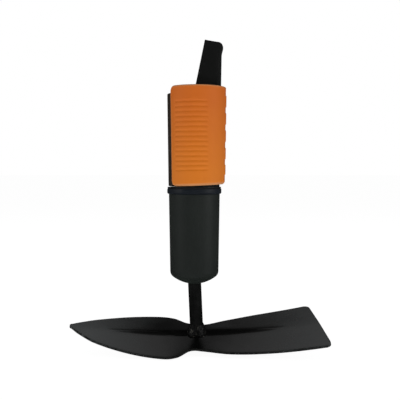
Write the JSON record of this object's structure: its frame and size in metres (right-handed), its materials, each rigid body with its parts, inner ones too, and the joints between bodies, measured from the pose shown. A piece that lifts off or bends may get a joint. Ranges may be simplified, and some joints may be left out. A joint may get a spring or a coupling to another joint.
{
  "type": "quick-release double hoe head",
  "caption": "Hoe head with one pressed blade, pointed at one end and broad at the other, on a welded shank with a quick-release handle socket.",
  "frame": {"origin": "centre of the handle socket, in the plane where the end of the handle tube stops", "axes": "+Z along the socket axis up the handle, +X towards the broad wing, -Y towards the blade's low edge"},
  "size_m": [0.194, 0.0612, 0.2339],
  "materials": {
    "blade_steel": "satin black paint over steel, bare on the ground edge",
    "shank_steel": "satin black paint",
    "weld_steel": "painted weld, glossy on its lumps",
    "pin_steel": "bare spring steel",
    "ferrule_plastic": "fine moulded texture",
    "ring_rubber": "glossy",
    "core_plastic": "moulded",
    "grip_plastic": "satin moulded orange",
    "latch_plastic": "satin moulded black",
    "pad_rubber": "soft touch",
    "pivot_steel": "bare ground steel",
    "spring_steel": "bare spring wire"
  },
  "bodies": {
    "head": {"blade": "blade_steel", "shank": "shank_steel", "weld_bead": "weld_steel", "shank_pin": "pin_steel", "ferrule": "ferrule_plastic", "stop_ring": "ring_rubber", "coupling_core": "core_plastic", "grip_sleeve": "grip_plastic", "pivot_pin": "pivot_steel", "latch_spring": "spring_steel"},
    "latch": {"latch_lever": "latch_plastic", "thumb_pad": "pad_rubber"}
  },
  "joints": [
    {"name": "latch_rock", "type": "hinge", "parent": "head", "child": "latch", "pos_m": [0.004, 0, 0.01], "axis": [0, -1, 0], "range_deg": [0, 2.5], "stiffness_Nm_per_rad": 3.2, "springref_deg": -5.73, "deforming": ["latch_spring"]}
  ]
}
